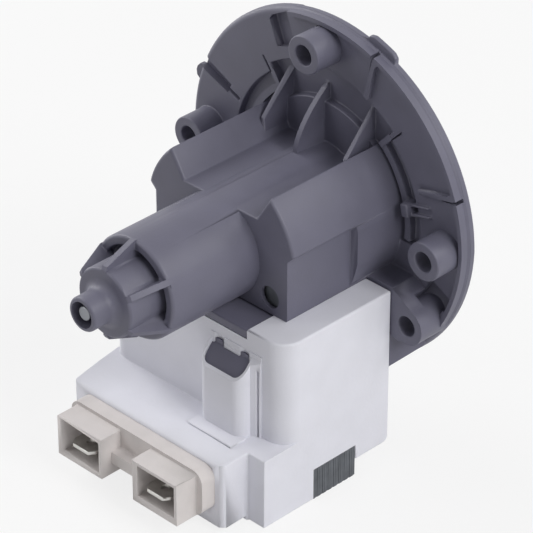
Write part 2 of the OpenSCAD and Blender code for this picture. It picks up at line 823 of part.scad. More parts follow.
module bobbin() {
    difference() {
        union() {
            slab_z(bobbin_low, bobbin_top) leg_plan(tube_wind, 0.8);
            for (z = [bobbin_low, bobbin_top - bobbin_end])
                slab_z(z, z + bobbin_end) leg_plan(tube_wind + bobbin_flange, 1);
        }
        slab_z(bobbin_low - over, bobbin_top + over) leg_plan(seat_gap, 0);
    }
}

module winding() {
    difference() {
        slab_z(bobbin_low + bobbin_end + press_gap, bobbin_top - bobbin_end - press_gap)
            leg_plan(tube_wind + winding_d, 3);
        slab_z(bobbin_low, bobbin_top) leg_plan(tube_wind + press_gap, 0.8);
    }
}

module bobbin_right() {
    color("#e6e2d6") bobbin();
}

module bobbin_left() {
    color("#e6e2d6") mirror([1, 0, 0]) bobbin();
}

module winding_right() {
    color("#b0602c") winding();
}

module winding_left() {
    color("#b0602c") mirror([1, 0, 0]) winding();
}

// Wire that joins the two windings in series
module winding_link() {
    color("#b0602c") translate([-link_x, stack_y, lead_z]) rotate([0, 90, 0])
        cylinder(r = lead_r, h = 2 * link_x);
}

// Wires from the windings back to the tails of the spade terminals
module lead_run(x, y0, y1) {
    translate([x, 0, lead_z]) round_y(lead_r, y0, y1);
}

module coil_lead_right() {
    color("#d8d2c4") lead_run(shroud_x[1], tail_y + blade_t, winding_back);
}

module coil_lead_left() {
    color("#d8d2c4") {
        lead_run(shroud_x[0], tail_y + blade_t, fuse_y[0]);
        lead_run(shroud_x[0], fuse_y[1], winding_back);
    }
}

// Thermal fuse in the left lead
module thermal_fuse() {
    color("#dcdcd8") translate([shroud_x[0], 0, lead_z]) round_y(fuse_r, fuse_y[0], fuse_y[1]);
}

// Plan of the block above the shelf, with round rear corners
module block_plan() {
    r = block_corner_r;
    translate([-block_x, r - block_rear]) square([2 * block_x, block_rear - block_front - r]);
    translate([r - block_x, -block_rear]) square([2 * (block_x - r), 2 * r]);
    for (i = [-1, 1]) translate([i * (block_x - r), r - block_rear]) circle(r = r);
}

// Side view of the block, with the step that shows the yoke
module block_side() {
    low = -block_drop + yoke_step;
    step_end = 29.6;
    r = 1.5;
    polygon(concat(
        [[-block_rear - over, -base_drop], [-block_front, -base_drop]],
        [for (a = [0:15:90]) [-block_front - r + r * cos(a), low + r - r * sin(a)]],
        [[yoke_step * 0.9 - step_end, low], [-step_end, -block_drop], [-block_rear - over, -block_drop]]));
}

// Shelf that carries the terminals, and the taller column at its right
module shelf() {
    shelf_start = block_corner_r + 0.6 - block_rear;
    slab_z(shelf_lift - block_drop, -shelf_drop) polygon([
        [0.1 - block_x, 2 - block_rear], [1 - block_x, column_y + 2], [-shelf_x - 1.4, 0.7 - shelf_rear],
        [-shelf_x - 0.6, -shelf_rear], [shelf_x - 1, -shelf_rear], [shelf_x - 0.4, 0.6 - shelf_rear],
        [shelf_x - 0.5, column_y], [shelf_x - 0.5, shelf_start], [0, shelf_start]
    ]);
    slab_z(-block_drop, -shelf_drop) polygon([
        [shelf_x - 1.5, shelf_start], [shelf_x - 1.5, column_y - 0.2], [shelf_x - 0.5, column_y - 0.2],
        [shelf_x - 0.1, column_y + 0.3], [block_x - 0.2, column_y + 0.3], [block_x, column_y + 0.5],
        [block_x, shelf_start]
    ]);
}

// The space above the sloped mouth of the pilaster, lowered by a step
module above_mouth(step) {
    slab_x(0, block_x) polygon([
        [-block_rear - 0.2, mouth_top - step], [pilaster_front - over, mouth_low - step],
        [pilaster_front - over, 0], [-block_rear - 0.2, 0]
    ]);
}

// Outline of the pilaster's pocket in X and Y, drawn in by a gap, with round corners at the rear
module pocket_plan(gap) {
    r = pilaster_round - pocket_wall - gap;
    w = pilaster_w - 2 * (pocket_wall + gap);
    d = pilaster_out - pocket_wall - 0.3 - 2 * gap;
    translate([pilaster_x + pocket_wall + gap, pilaster_front + pocket_wall + gap]) {
        translate([r, 0]) square([w - 2 * r, d]);
        translate([0, r]) square([w, d - r]);
        for (x = [r, w - r]) translate([x, r]) circle(r = r);
    }
}

// Hollow pilaster with a sloped mouth, and the low bar in front of it
module pilaster() {
    right = pilaster_x + pilaster_w;
    r = pilaster_round;
    difference() {
        slab_z(-shelf_drop - 1, mouth_top + 1) polygon([
            [pilaster_x, -block_rear + 1],
            for (a = [0:15:90]) [pilaster_x + r - r * cos(a), pilaster_front + r - r * sin(a)],
            for (a = [90:-15:0]) [right - r + r * cos(a), pilaster_front + r - r * sin(a)],
            [right, -block_rear - 1.2], [right + 2, -block_rear - 0.4], [right + 2, -block_rear + 1]
        ]);
        above_mouth(0);
    }
    translate([pilaster_x, pilaster_front - 2.8, -shelf_drop - 1]) cube([pilaster_w + 0.4, 4, 1.5]);
}

module coil_block() {
    color("#e4e3e8") difference() {
        union() {
            intersection() {
                slab_z(-block_drop - over, over) block_plan();
                slab_x(-block_x - over, block_x + over) block_side();
            }
            shelf();
            pilaster();
        }
        // Pocket in the pilaster
        slab_z(-pilaster_top - pocket_d, mouth_top + 1) pocket_plan(0);
        // Shadow line beside the pilaster
        translate([pilaster_x + pilaster_w + 1.2, -block_rear - 0.9, -shelf_drop])
            cube([0.5, 1.5, shelf_drop - pilaster_top]);
        // Channel for the rotor tube and seat for the plate under it
        round_y(tube_r + seat_gap, -block_rear - over, -block_front + over);
        translate([-seat_x - seat_gap, -block_rear - over, seat_top - seat_t - seat_gap])
            cube([2 * (seat_x + seat_gap), block_rear - stack_rear + over, 10]);
        // Rooms for the laminations, the bobbins and the wiring
        slab_y(-stack_rear - seat_gap, seat_gap - stack_front)
            translate([-block_x - over, -block_drop - over])
                square([2 * (block_x + over), yoke_h + over + seat_gap]);
        both_sides() {
            slab_z(yoke_top - over, over) leg_plan(core_gap, 0);
            slab_z(bobbin_low - seat_gap, bobbin_top + seat_gap)
                leg_plan(tube_wind + bobbin_flange + seat_gap, 1);
        }
        translate([-link_x, stack_y, lead_z]) rotate([0, 90, 0])
            cylinder(r = lead_r + seat_gap, h = 2 * link_x);
        for (x = shroud_x) {
            translate([x, 0, lead_z]) round_y(lead_r + seat_gap, tail_y, winding_back);
            translate([x - shroud_w / 2 - seat_gap, -shelf_rear - over, shroud_z - shroud_h / 2 - seat_gap])
                cube([shroud_w + 2 * seat_gap, sleeve_back + shelf_rear + over + seat_gap,
                    shroud_h + 2 * seat_gap]);
            translate([x - blade_w / 2 - seat_gap, sleeve_back, blade_z - blade_t / 2 - seat_gap])
                cube([blade_w + 2 * seat_gap, tail_y + blade_t + seat_gap - sleeve_back,
                    tail_top - blade_z + blade_t / 2 + 2 * seat_gap]);
        }
        translate([shroud_x[0], 0, lead_z])
            round_y(fuse_r + seat_gap, fuse_y[0] - seat_gap, fuse_y[1] + seat_gap);
    }
}

// Tongue in the pilaster's pocket that locks the coil block to the housing
module latch_tongue() {
    color("#6d717c") difference() {
        slab_z(seat_gap - pilaster_top - pocket_d, mouth_top) pocket_plan(seat_gap);
        above_mouth(tongue_step);
    }
}

// Outline of the terminal plate with round corners
module plate_outline() {
    r = 2.6;
    translate([terminal_shift, plate_z]) {
        square([plate_w, plate_h - 2 * r], center = true);
        square([plate_w - 2 * r, plate_h], center = true);
        for (i = [-1, 1], j = [-1, 1])
            translate([i * (plate_w / 2 - r), j * (plate_h / 2 - r)]) circle(r = r);
    }
}

module terminal_plate() {
    color("#d9d0c6") difference() {
        union() {
            slab_y(plate_front, -shelf_rear - press_gap) plate_outline();
            for (x = shroud_x)
                translate([x - shroud_w / 2, shroud_front, shroud_z - shroud_h / 2])
                    cube([shroud_w, sleeve_back - shroud_front, shroud_h]);
            translate([shroud_x[0], bar_front, blade_z - bar_h / 2])
                cube([shroud_pitch, plate_front - bar_front + over, bar_h]);
        }
        for (x = shroud_x) {
            translate([x - shroud_w / 2 + socket_walls[0], shroud_front - over,
                shroud_z - shroud_h / 2 + socket_walls[2]])
                cube([shroud_w - socket_walls[0] - socket_walls[1], socket_floor - shroud_front + over,
                    shroud_h - socket_walls[2] - socket_walls[3]]);
            translate([x, socket_floor + 0.7, blade_z])
                cube([blade_w + seat_gap, 2 * over + 1.4, blade_t + seat_gap], center = true);
        }
    }
}

// Spade terminal with a tapered tip, a dimple hole and a bent tail
module spade_terminal(x) {
    color("#c8c8c8") translate([x, 0, blade_z - blade_t / 2]) {
        difference() {
            linear_extrude(blade_t) polygon([
                [-blade_w / 2, tail_y], [-blade_w / 2, blade_tip + 1.4], [1 - blade_w / 2, blade_tip],
                [blade_w / 2 - 1, blade_tip], [blade_w / 2, blade_tip + 1.4], [blade_w / 2, tail_y]
            ]);
            translate([0, blade_tip + dimple_back, -over]) cylinder(r = 0.9, h = blade_t + 2 * over);
        }
        translate([-blade_w / 4, tail_y, 0]) cube([blade_w / 2, blade_t, tail_top - blade_z + blade_t / 2]);
    }
}

module spade_terminal_left() {
    spade_terminal(shroud_x[0]);
}

module spade_terminal_right() {
    spade_terminal(shroud_x[1]);
}

module rotor_shaft() {
    color("#c4c7ca") turned_y() polygon([
        [0, shaft_tail], [shaft_r - 0.2, shaft_tail], [shaft_r, shaft_tail + 0.2],
        [shaft_r, hub_front - 0.3], [shaft_r - 0.3, hub_front], [0, hub_front]
    ]);
}

module rotor_magnet() {
    color("#4a4644") ring_y(core_r + press_gap, magnet_r, magnet_back, -magnet_front);
}

module magnet_core() {
    color("#8f8a80") turned_y() polygon([
        [shaft_r + press_gap, core_front], [washer_r, core_front], [washer_r, -magnet_front + 0.4],
        [core_r + 1.6, -magnet_front + 0.4], [core_r + 1.6, press_gap - magnet_front],
        [core_r, press_gap - magnet_front], [core_r, magnet_back - press_gap],
        [core_r + 1.6, magnet_back - press_gap], [core_r + 1.6, magnet_back - 0.5],
        [washer_r, magnet_back - 0.5], [washer_r, chamber_end + end_gap + washer_t],
        [shaft_r + press_gap, chamber_end + end_gap + washer_t]
    ]);
}

module rear_thrust_washer() {
    washer_back = chamber_end + end_gap;
    color("#e8e4da") ring_y(shaft_r + press_gap, washer_r, washer_back, washer_back + washer_t - press_gap);
}

module front_thrust_washer() {
    color("#e8e4da") ring_y(shaft_r + press_gap, washer_r, core_front + press_gap, core_front + washer_t);
}

// A lug of a coupling, between two radii
module coupling_lug(r_in, r_out, y0, y1, middle, span) {
    ring_slice(r_in, r_out, y0, y1, middle - span / 2, middle + span / 2);
}

// Dog pressed on the shaft, which drives the impeller after its free turn
module drive_dog() {
    color("#d9d4c8") {
        difference() {
            union() {
                round_y(dog_r, chamber_y[0] + end_gap, chamber_y[1] - end_gap);
                coupling_lug(dog_r - 0.5, dog_reach, chamber_y[0] + end_gap, chamber_y[1] - end_gap, 90,
                    dog_span);
            }
            round_y(shaft_r + press_gap, impeller_back, hub_front);
        }
    }
}

module impeller() {
    color("#e9e7e1") {
        turned_y() polygon([
            [shaft_r + run_gap, impeller_back], [hub_r - 0.6, impeller_back], [hub_r, impeller_back + 0.6],
            [hub_r, hub_front], [chamber_r, hub_front], [chamber_r, chamber_y[0]],
            [shaft_r + run_gap, chamber_y[0]]
        ]);
        coupling_lug(key_in, chamber_r + hub_wall / 2, chamber_y[0] - 0.5, chamber_y[1] - press_gap, 270,
            key_span);
        for (i = [0:vane_count - 1]) at_angle(360 / vane_count * i)
            translate([hub_r - hub_wall / 2, impeller_back + 0.5, -vane_t / 2]) {
                cube([impeller_r - hub_r + hub_wall / 2 - vane_t / 2, vane_h, vane_t]);
                translate([impeller_r - hub_r + hub_wall / 2 - vane_t / 2, 0, vane_t / 2])
                    round_y(vane_t / 2, 0, vane_h);
            }
    }
}

module impeller_cap() {
    color("#dcdad4") ring_y(shaft_r + run_gap, chamber_r - press_gap, chamber_y[1], hub_front);
}

// Rubber pads that soften the dog's stops
module dog_bumper() {
    pad = key_span / 2 + bumper_span / 2 + 0.2;
    color("#2a2a2c") for (side = [-1, 1])
        coupling_lug(key_in + 0.3, chamber_r - press_gap, chamber_y[0] + press_gap, chamber_y[1] - press_gap,
            270 + side * pad, bumper_span);
}

motor_housing();
flange_seal();
bearing_cap();
cap_seal();
front_bearing_sleeve();
front_bearing();
rear_bearing_sleeve();
rear_bearing();
coil_block();
pole_left();
pole_right();
stator_yoke();
bobbin_left();
bobbin_right();
winding_left();
winding_right();
winding_link();
coil_lead_left();
coil_lead_right();
thermal_fuse();
latch_tongue();
terminal_plate();
spade_terminal_left();
spade_terminal_right();
rotor_shaft();
rotor_magnet();
magnet_core();
rear_thrust_washer();
front_thrust_washer();
drive_dog();
impeller();
impeller_cap();
dog_bumper();
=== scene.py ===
"""Dresses a washer drain pump: moulded housing, coil block, terminals, stator, rotor and impeller.

Lengths are in metres in the pump's own frame: Y is the rotor axis, with the flange's front face at
y = 0 and the impeller on its +Y side, and Z is up.
"""

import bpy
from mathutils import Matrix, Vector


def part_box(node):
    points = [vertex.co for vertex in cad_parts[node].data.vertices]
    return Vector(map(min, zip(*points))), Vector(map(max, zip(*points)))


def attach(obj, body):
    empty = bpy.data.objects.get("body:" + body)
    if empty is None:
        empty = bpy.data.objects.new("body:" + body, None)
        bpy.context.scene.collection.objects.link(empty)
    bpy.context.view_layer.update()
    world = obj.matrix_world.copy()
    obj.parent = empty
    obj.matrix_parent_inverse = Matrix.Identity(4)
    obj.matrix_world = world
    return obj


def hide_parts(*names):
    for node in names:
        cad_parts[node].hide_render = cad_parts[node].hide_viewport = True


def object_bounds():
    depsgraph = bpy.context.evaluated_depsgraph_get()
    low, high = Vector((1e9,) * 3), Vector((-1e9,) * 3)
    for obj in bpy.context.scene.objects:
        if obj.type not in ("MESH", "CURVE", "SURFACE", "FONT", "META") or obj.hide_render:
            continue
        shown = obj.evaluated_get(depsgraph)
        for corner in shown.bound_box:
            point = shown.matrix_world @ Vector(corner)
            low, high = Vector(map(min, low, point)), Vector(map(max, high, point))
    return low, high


bl_info = {
    "name": "Drain Pump Dressing",
    "version": (1, 0, 0),
    "blender": (4, 5, 0),
    "location": "View3D > Sidebar > Drain Pump",
    "description": "Rounds and finishes the pieces of a washer drain pump",
    "category": "Object",
}

import math

import bmesh
import bpy
from mathutils import Matrix, Vector
from mathutils.bvhtree import BVHTree
from mathutils.geometry import intersect_point_line

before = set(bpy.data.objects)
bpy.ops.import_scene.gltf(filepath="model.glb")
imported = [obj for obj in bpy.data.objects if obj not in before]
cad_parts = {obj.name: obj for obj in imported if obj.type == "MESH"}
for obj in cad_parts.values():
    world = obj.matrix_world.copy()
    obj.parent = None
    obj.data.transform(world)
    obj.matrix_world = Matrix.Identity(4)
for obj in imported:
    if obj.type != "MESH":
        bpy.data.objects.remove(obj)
CAD_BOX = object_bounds()
MM = 0.001
BODY = "pump_body"

# Camera, as fitted to the round flange and the rotor axis in the photograph
CAMERA_EYE = Vector((394.9, -412.0, 343.8)) * MM
CAMERA_AZIMUTH = math.radians(45.11)
CAMERA_ELEVATION = math.radians(32.48)
CAMERA_LENS = 227.8
CAMERA_SENSOR = 36.0

# Softboxes on a circle of one metre round the pump: azimuth and elevation in degrees, and watts
SOFTBOX_SIZE = 0.45
SOFTBOXES = {
    "right_softbox": (90, 38, 5.2),
    "left_softbox": (270, 38, 3.1),
    "low_left_softbox": (270, 8, 2.0),
    "flange_side_softbox": (135, 38, 1.6),
    "rear_left_softbox": (315, 38, 1.7),
}

# Rounds: the angle between faces from which an edge is rounded, the turn between two edges up to
# which one round runs on over both, and the turns at which it would slide past the end of its edge
SHARP_FROM = math.radians(28)
RUNS_ON = math.radians(40)
LINES_UP = math.radians(38)
TURNS_BACK = math.radians(162)
# Shares: of the room beside an edge that its round may take, and of the wanted round that it keeps
ROOM_SHARE = 0.42
LEAST_SHARE = 0.4


def linear(code):
    """An sRGB hex colour as a linear colour."""
    parts = [int(code[i : i + 2], 16) / 255 for i in (1, 3, 5)]
    return [p / 12.92 if p <= 0.04045 else ((p + 0.055) / 1.055) ** 2.4 for p in parts]


def length_size(name, description, millimetres):
    """A length that a user can set, with its default in millimetres."""
    return bpy.props.FloatProperty(
        name=name, description=description, default=millimetres * MM, min=0.0, precision=5, unit="LENGTH"
    )


def base_colour(name, description, code):
    """A colour that a user can set, with its default as an sRGB hex value."""
    return bpy.props.FloatVectorProperty(
        name=name, description=description, subtype="COLOR", size=3, min=0.0, max=1.0, default=linear(code)
    )


class PumpSizes(bpy.types.PropertyGroup):
    """Rounds and thicknesses of the dressed pieces"""

    housing_round: length_size("Housing round", "Round on the motor housing's edges", 0.3)
    wing_round: length_size("Wing round", "Round on the rear edges of the pole housings", 1.3)
    step_round: length_size("Step round", "Round on the rear edges of the housing's front part", 1.2)
    block_round: length_size("Coil block round", "Round on the coil block's edges", 0.5)
    block_top_round: length_size("Coil block top round", "Round on the coil block's upper edges", 0.9)
    terminal_round: length_size("Terminal round", "Round on the edges of the terminal shrouds", 0.3)
    plate_round: length_size("Plate round", "Round on the front edge of the terminal plate", 0.9)
    blade_round: length_size("Blade round", "Round on the stamped edges of the blades", 0.15)
    small_round: length_size("Small round", "Round on the edges of the small pieces", 0.2)
    seal_round: length_size("Seal round", "Round on the edges of the seals and the shaft", 0.1)
    sheet_thickness: length_size("Lamination", "Thickness of one stamped sheet of the stator", 0.5)


class PumpColours(bpy.types.PropertyGroup):
    """Base colours of the dressed pieces"""

    housing: base_colour("Housing", "Blue-grey of the moulded motor housing", "#676676")
    block: base_colour("Coil block", "Cool white of the coil block's moulding", "#e4e4ec")
    terminal: base_colour("Terminal plate", "Warm grey of the terminal plate", "#d8d2d0")


def add(tree, kind, props=(), values=(), links=()):
    """Adds one node with its settings, its sockets' values and the links into it."""
    made = tree.nodes.new(kind)
    for key, value in dict(props).items():
        setattr(made, key, value)
    for key, value in dict(values).items():
        made.inputs[key].default_value = value
    for key, socket in dict(links).items():
        tree.links.new(socket, made.inputs[key])
    return made


def new_material(name, values):
    """A material with one Principled shader, and its tree, shader and object coordinates."""
    material = bpy.data.materials.new(name)
    material.use_nodes = True
    tree = material.node_tree
    tree.nodes.clear()
    shader = add(tree, "ShaderNodeBsdfPrincipled", values=values)
    add(tree, "ShaderNodeOutputMaterial", links={"Surface": shader.outputs[0]})
    place = add(tree, "ShaderNodeTexCoord").outputs["Object"]
    return material, tree, shader, place


def shade(colour, factor):
    """A colour made lighter or darker, as four numbers for a socket."""
    return [min(1.0, c * factor) for c in colour] + [1.0]


def noise(tree, place, size, detail=2.0, rough=0.5):
    """The value of a noise whose blotches are about as wide as the size given."""
    values = {"Scale": 1 / size, "Detail": detail, "Roughness": rough}
    return add(tree, "ShaderNodeTexNoise", values=values, links={"Vector": place}).outputs[0]


def mottle(tree, value, colour, spread):
    """A colour that goes a little darker and lighter with a value, on a shader's base colour."""
    ramp = add(tree, "ShaderNodeValToRGB", links={0: value})
    ramp.color_ramp.elements[0].position = 0.3
    ramp.color_ramp.elements[0].color = shade(colour, 1 - spread)
    ramp.color_ramp.elements[1].position = 0.7
    ramp.color_ramp.elements[1].color = shade(colour, 1 + spread)
    return ramp.outputs[0]


def between(tree, value, low, high):
    """A value from 0 to 1 moved into a range."""
    values = {"To Min": low, "To Max": high}
    return add(tree, "ShaderNodeMapRange", values=values, links={"Value": value}).outputs[0]


def bump(tree, height, depth, strength=1.0, under=None):
    """A bump of a real depth from a height value."""
    links = {"Height": height}
    if under is not None:
        links["Normal"] = under
    values = {"Distance": depth, "Strength": strength}
    return add(tree, "ShaderNodeBump", values=values, links=links).outputs[0]


def moulded(name, colour, spread, roughness, grain, depth, blotch=6 * MM):
    """A moulded plastic: faint cloudy colour, sheen that varies, and the mould's spark-eroded grain."""
    material, tree, shader, place = new_material(name, {"IOR": 1.5})
    cloud = noise(tree, place, blotch, detail=4)
    link = tree.links.new
    link(mottle(tree, cloud, colour, spread), shader.inputs["Base Color"])
    link(between(tree, noise(tree, place, 3 * MM), *roughness), shader.inputs["Roughness"])
    fine = noise(tree, place, grain, detail=3, rough=0.6)
    waves = bump(tree, cloud, 0.03 * MM)
    link(bump(tree, fine, depth, under=waves), shader.inputs["Normal"])
    return material


def housing_plastic(colour):
    """Glass-filled polypropylene, moulded: a satin blue-grey with a fine dull grain."""
    return moulded("glass_filled_polypropylene", colour, 0.05, (0.42, 0.56), 0.5 * MM, 0.02 * MM)


def block_plastic(colour):
    """Polyester moulding compound over the coils: cool white, dull, with a coarser pitted skin."""
    return moulded("polyester_moulding_compound", colour, 0.02, (0.5, 0.65), 0.7 * MM, 0.03 * MM)


def terminal_plastic(colour):
    """Glass-filled polyamide of the terminal plate: warm grey, dull, with faint flow clouds."""
    return moulded("glass_filled_polyamide", colour, 0.03, (0.5, 0.62), 0.5 * MM, 0.02 * MM, 3 * MM)


def plain_moulding(name, code, roughness):
    """Unfilled moulded plastic of the hidden pieces: even colour, fine grain."""
    return moulded(name, linear(code), 0.03, roughness, 0.5 * MM, 0.015 * MM)


def rubber():
    """Nitrile rubber, moulded: near black, dull, with a faint bloom."""
    return moulded("nitrile_rubber", linear("#262628"), 0.15, (0.6, 0.8), 0.4 * MM, 0.02 * MM)


def metal(name, code, roughness, grain, depth, spread=0.06):
    """A bare metal with a fine grain and clouded polish."""
    material, tree, shader, place = new_material(name, {"Metallic": 1.0})
    cloud = noise(tree, place, 2 * MM, detail=5)
    link = tree.links.new
    link(mottle(tree, cloud, linear(code), spread), shader.inputs["Base Color"])
    link(between(tree, cloud, *roughness), shader.inputs["Roughness"])
    link(bump(tree, noise(tree, place, grain, detail=4), depth), shader.inputs["Normal"])
    return material


def tinned_brass():
    """Brass strip, tin plated and stamped: pale grey metal with a soft shine."""
    return metal("tinned_brass", "#c9c8c4", (0.25, 0.42), 0.3 * MM, 0.01 * MM)


def ground_steel():
    """Ground bearing steel of the shaft: mid grey, with a dulled, faintly scratched end."""
    return metal("ground_steel", "#8e9095", (0.4, 0.55), 0.15 * MM, 0.006 * MM)


def sheet_steel():
    """Varnished electrical steel: dark blue-grey sheets with a dull varnish."""
    return metal("varnished_steel_sheet", "#6a6d72", (0.45, 0.65), 0.3 * MM, 0.01 * MM, 0.15)


def sintered_bronze():
    """Sintered bronze, oiled: brown-gold with open pores."""
    return metal("sintered_bronze", "#9a7444", (0.35, 0.55), 0.2 * MM, 0.03 * MM, 0.2)


def enamelled_copper():
    """Enamelled copper wire: red-brown and glossy, with the turns as fine ridges."""
    values = {"Metallic": 1.0, "Roughness": 0.28, "Coat Weight": 0.6, "Coat Roughness": 0.1}
    material, tree, shader, place = new_material("enamelled_copper_wire", values)
    cloud = noise(tree, place, 2 * MM)
    tree.links.new(mottle(tree, cloud, linear("#a8552b"), 0.12), shader.inputs["Base Color"])
    settings = {"wave_type": "BANDS", "bands_direction": "Z"}
    wire = 0.3 * MM
    turns = {"Scale": math.pi / 10 / wire, "Distortion": 0.5}  # at scale 1 a wave repeats every pi / 10
    wave = add(tree, "ShaderNodeTexWave", settings, turns, {"Vector": place}).outputs["Fac"]
    tree.links.new(bump(tree, wave, 0.08 * MM), shader.inputs["Normal"])
    return material


def ferrite():
    """Sintered ferrite magnet: near-black ceramic, ground, faintly speckled."""
    return moulded("sintered_ferrite", linear("#37343a"), 0.2, (0.35, 0.5), 0.3 * MM, 0.01 * MM, 1 * MM)


# The finish of every node that keeps its own shape
NODE_FINISHES = {
    "rubber": ("front_bearing_sleeve", "rear_bearing_sleeve", "dog_bumper"),
    "bronze": ("front_bearing", "rear_bearing"),
    "sheet": ("pole_left", "pole_right"),
    "copper": ("winding_left", "winding_right", "winding_link"),
    "bobbin": ("bobbin_left", "bobbin_right", "magnet_core"),
    "wire": ("coil_lead_left", "coil_lead_right", "thermal_fuse"),
    "ferrite": ("rotor_magnet",),
    "washer": ("rear_thrust_washer", "front_thrust_washer", "drive_dog"),
}


def node_material(kind):
    """The material of one kind of hidden piece."""
    makers = {
        "rubber": rubber,
        "bronze": sintered_bronze,
        "sheet": sheet_steel,
        "copper": enamelled_copper,
        "ferrite": ferrite,
        "bobbin": lambda: plain_moulding("polybutylene_bobbin", "#e2ddd0", (0.4, 0.55)),
        "wire": lambda: plain_moulding("silicone_sleeve", "#d6cfbf", (0.35, 0.5)),
        "washer": lambda: plain_moulding("acetal", "#e4e0d6", (0.3, 0.42)),
    }
    return makers[kind]()


def dress(piece, material):
    """Gives a piece one material on all its faces."""
    piece.data.materials.clear()
    piece.data.materials.append(material)


def merged_copy(node):
    """A node's mesh as one merged surface, with its flat faces joined."""
    bm = bmesh.new()
    bm.from_mesh(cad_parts[node].data)
    bmesh.ops.remove_doubles(bm, verts=bm.verts, dist=0.001 * MM)
    bmesh.ops.dissolve_limit(
        bm, angle_limit=math.radians(0.5), use_dissolve_boundaries=False, verts=bm.verts, edges=bm.edges
    )
    return bm


def is_sharp(edge):
    """Whether two faces meet at an edge, and sharply enough for a round."""
    return edge.is_manifold and edge.calc_face_angle(0.0) > SHARP_FROM


def room_beside(edge):
    """The distance from the middle of an edge to the next edge across either of its faces."""
    first, last = (v.co for v in edge.verts)
    middle = (first + last) / 2
    along = (last - first).normalized()
    room = 1.0
    for face in edge.link_faces:
        for other in face.edges:
            if edge.verts[0] in other.verts or edge.verts[1] in other.verts:
                continue
            start, end = (v.co for v in other.verts)
            share = intersect_point_line(middle, start, end)[1]
            out = start.lerp(end, min(1.0, max(0.0, share))) - middle
            if abs(out.dot(along)) < 0.6 * out.length:
                room = min(room, out.length)
    return room


def turn_between(edge, other, vert):
    """The angle by which a path turns that comes along one edge and leaves by the other."""
    into = vert.co - edge.other_vert(vert).co
    out = other.other_vert(vert).co - vert.co
    return into.angle(out, 0.0)


def beside_at(edge, vert):
    """The edges next to an edge at one of its ends, one in each of its faces."""
    return [o for f in edge.link_faces for o in f.edges if o is not edge and vert in o.verts]


def sharp_runs(bm, widths, usual):
    """The sharp edges that have room for a round, in smooth runs, each run with its narrowest width."""
    chosen = {}
    for edge in bm.edges:
        if is_sharp(edge):
            wanted = next((w for w, test in widths if test(edge)), usual)
            width = min(wanted, ROOM_SHARE * room_beside(edge))
            if width > LEAST_SHARE * wanted:
                chosen[edge] = width
    runs = []
    left = set(chosen)
    for first in chosen:
        if first not in left:
            continue
        left.discard(first)
        run, heads = [], [first]
        while heads:
            edge = heads.pop()
            run.append(edge)
            for vert in edge.verts:
                for other in beside_at(edge, vert):
                    if other in left and turn_between(edge, other, vert) < RUNS_ON:
                        left.discard(other)
                        heads.append(other)
        runs.append((run, min(chosen[edge] for edge in run)))
    return runs


def runs_away(edge, vert, chosen):
    """Whether a round would slide far past an edge's end, along an edge that nearly lines up with it."""
    for other in beside_at(edge, vert):
        turn = turn_between(edge, other, vert)
        if turn > TURNS_BACK or (other not in chosen and turn < LINES_UP):
            return True
    return False


def weigh_edges(bm, widths, usual):
    """Gives each sharp run its round as a share of the widest, and its number, unless an end runs away."""
    weights = bm.edges.layers.float.new("bevel_weight_edge")
    numbers = bm.edges.layers.int.new("run")
    runs = sharp_runs(bm, widths, usual)
    chosen = {edge for run, _ in runs for edge in run}
    widest = max((width for _, width in runs), default=0.0)
    for number, (run, width) in enumerate(runs):
        if not any(runs_away(edge, vert, chosen) for edge in run for vert in edge.verts):
            for edge in run:
                edge[weights] = width / widest
                edge[numbers] = number + 1
    return widest


def rounded_triangles(piece):
    """The triangles of a piece with its modifiers: three corners and a normal each."""
    seen = piece.evaluated_get(bpy.context.evaluated_depsgraph_get())
    mesh = seen.to_mesh()
    found = [
        ([mesh.vertices[v].co.copy() for v in triangle.vertices], triangle.normal.copy())
        for triangle in mesh.loop_triangles
    ]
    seen.to_mesh_clear()
    return found


def spoiled_spots(piece, surface, width):
    """Corners of the triangles that a round has turned over, or thrown off the plain surface."""
    spots = []
    for corners, normal in rounded_triangles(piece):
        if normal.length < 0.5:
            continue  # no area, so no side to turn over
        _, plain, _, far = surface.find_nearest(sum(corners, Vector()) / 3)
        if far > 0.6 * width or plain.dot(normal) < -0.1:
            spots.extend(corners)
    return spots


def spoiled_runs(mesh, spots, reach):
    """The numbers of the runs that come near a spoiled spot, by a reach for each share of the round."""
    weights = mesh.attributes["bevel_weight_edge"].data
    numbers = mesh.attributes["run"].data
    spoiled = set()
    for edge in mesh.edges:
        number = numbers[edge.index].value
        if not number or number in spoiled:
            continue
        start, end = (mesh.vertices[v].co for v in edge.vertices)
        near = reach * max(0.3, weights[edge.index].value)
        for spot in spots:
            share = min(1.0, max(0.0, intersect_point_line(spot, start, end)[1]))
            if (start.lerp(end, share) - spot).length < near:
                spoiled.add(number)
                break
    return spoiled


def settle_rounds(piece, width, attempts=14, least=0.12):
    """Halves the rounds that spoil the surface near them, and takes them out where that isn't enough."""
    mesh = piece.data
    surface = BVHTree.FromPolygons([v.co for v in mesh.vertices], [f.vertices for f in mesh.polygons])
    weights = mesh.attributes["bevel_weight_edge"].data
    numbers = mesh.attributes["run"].data
    for _ in range(attempts):
        spots = spoiled_spots(piece, surface, width)
        if not spots:
            break
        spoiled = spoiled_runs(mesh, spots, 2.5 * width)
        for edge in mesh.edges:
            if numbers[edge.index].value in spoiled:
                weights[edge.index].value /= 2
                if weights[edge.index].value < least:
                    edge.use_edge_sharp = True
                    weights[edge.index].value = 0.0
                    numbers[edge.index].value = 0
        mesh.update()


def on_plane(edge, axis, value, slack=0.03 * MM):
    """Whether both ends of an edge lie at one place along an axis."""
    return all(abs(v.co[axis] - value) < slack for v in edge.verts)


